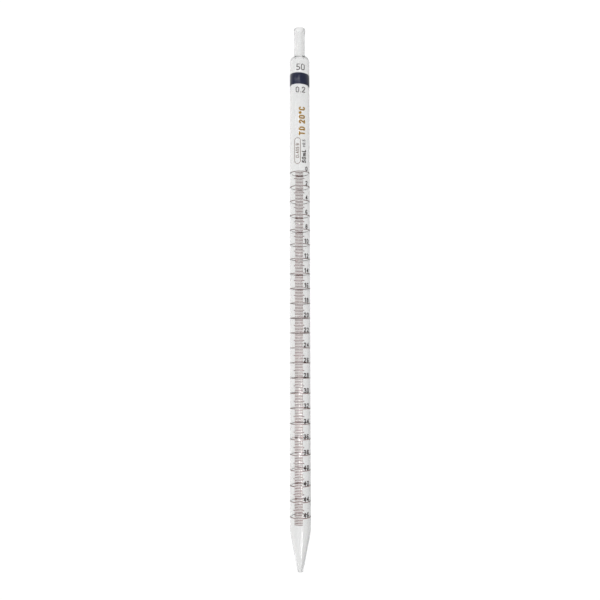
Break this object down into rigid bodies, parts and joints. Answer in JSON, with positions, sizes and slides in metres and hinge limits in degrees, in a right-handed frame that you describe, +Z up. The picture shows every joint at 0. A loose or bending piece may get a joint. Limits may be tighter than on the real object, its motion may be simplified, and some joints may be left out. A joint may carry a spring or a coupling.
{
  "type": "graduated pipette",
  "caption": "Straight clear glass graduated pipette with a slim mouthpiece, a drawn jet and fired enamel scale marks and numerals.",
  "frame": {"origin": "centre of the jet's open end, at the bottom of the axis", "axes": "+Z up the axis to the mouthpiece; the scale is read from the front, -Y, with +X on the reader's right"},
  "size_m": [0.0168, 0.0168, 0.45],
  "materials": {
    "glass": "clear drawn borosilicate glass, fire-polished ends",
    "scale_enamel": "thin fired brown-grey enamel lines",
    "lettering_enamel": "fired dark brown enamel",
    "navy_enamel": "glossy fired dark blue enamel",
    "amber_enamel": "fired amber enamel",
    "pale_enamel": "pale thinly fired enamel"
  },
  "bodies": {
    "root": {"barrel_tube": "glass", "capacity_numeral": "lettering_enamel", "class_mark": "pale_enamel", "colour_code_band": "navy_enamel", "delivery_mark": "amber_enamel", "division_numeral": "lettering_enamel", "jet_cone": "glass", "medium_marks": "scale_enamel", "mouthpiece_tube": "glass", "numeral_00": "lettering_enamel", "numeral_02": "lettering_enamel", "numeral_04": "lettering_enamel", "numeral_06": "lettering_enamel", "numeral_08": "lettering_enamel", "numeral_10": "lettering_enamel", "numeral_12": "lettering_enamel", "numeral_14": "lettering_enamel", "numeral_16": "lettering_enamel", "numeral_18": "lettering_enamel", "numeral_20": "lettering_enamel", "numeral_22": "lettering_enamel", "numeral_24": "lettering_enamel", "numeral_26": "lettering_enamel", "numeral_28": "lettering_enamel", "numeral_30": "lettering_enamel", "numeral_32": "lettering_enamel", "numeral_34": "lettering_enamel", "numeral_36": "lettering_enamel", "numeral_38": "lettering_enamel", "numeral_40": "lettering_enamel", "numeral_42": "lettering_enamel", "numeral_44": "lettering_enamel", "numeral_46": "lettering_enamel", "ring_marks": "scale_enamel", "short_marks": "scale_enamel", "specification_frame": "pale_enamel", "tolerance_mark": "lettering_enamel", "volume_mark": "lettering_enamel"}
  },
  "joints": []
}
